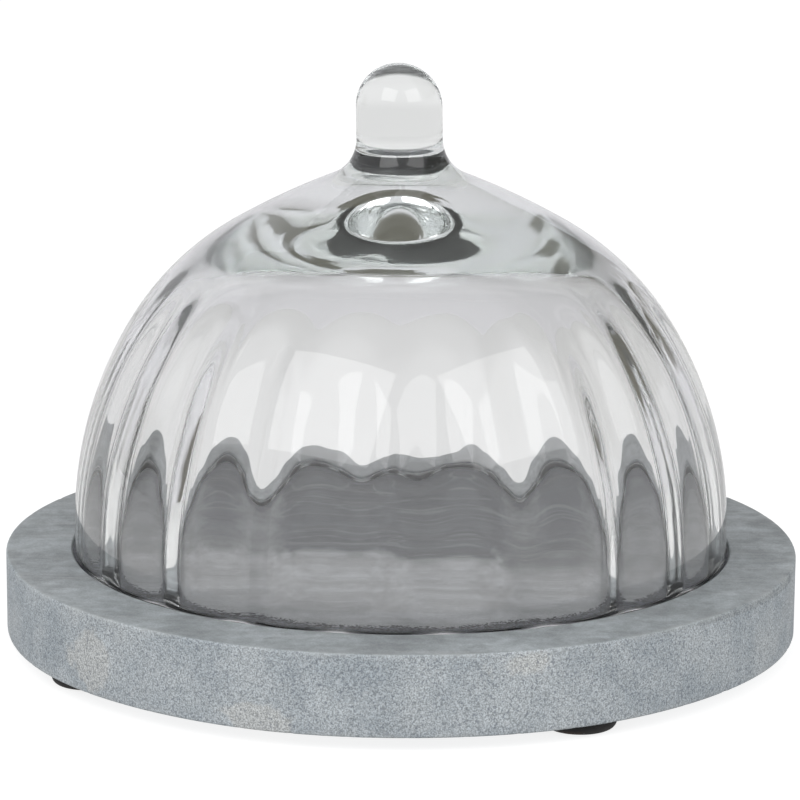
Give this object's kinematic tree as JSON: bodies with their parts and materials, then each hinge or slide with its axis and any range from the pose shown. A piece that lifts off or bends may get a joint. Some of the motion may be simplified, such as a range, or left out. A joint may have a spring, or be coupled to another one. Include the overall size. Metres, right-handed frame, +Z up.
{
  "type": "glass cloche with stone base",
  "caption": "Clear fluted glass dome with a solid glass knob, standing in a shallow seat in a round stone base on rubber feet; covers and displays food.",
  "frame": {"origin": "on the table, under the centre of the stone base, at the level of the feet's lower faces", "axes": "+Z up along the dome's axis; the front looks along -Y, as in the picture"},
  "size_m": [0.2, 0.2, 0.1459],
  "materials": {
    "stone": "honed grey stone, speckled, with cloudy pale patches",
    "glass": "clear blown glass with a faint green tint",
    "rubber": "matte black rubber",
    "adhesive": "thin adhesive foam"
  },
  "bodies": {
    "base": {"stone_base": "stone", "foot_front_right": "rubber", "foot_rear_right": "rubber", "foot_rear_left": "rubber", "foot_front_left": "rubber", "pad_front_right": "adhesive", "pad_rear_right": "adhesive", "pad_rear_left": "adhesive", "pad_front_left": "adhesive"},
    "dome": {"glass_dome": "glass", "glass_knob": "glass"}
  },
  "joints": [
    {"name": "dome_lift", "type": "slide", "parent": "base", "child": "dome", "axis": [0, 0, 1], "range_m": [0, 0.12]}
  ]
}
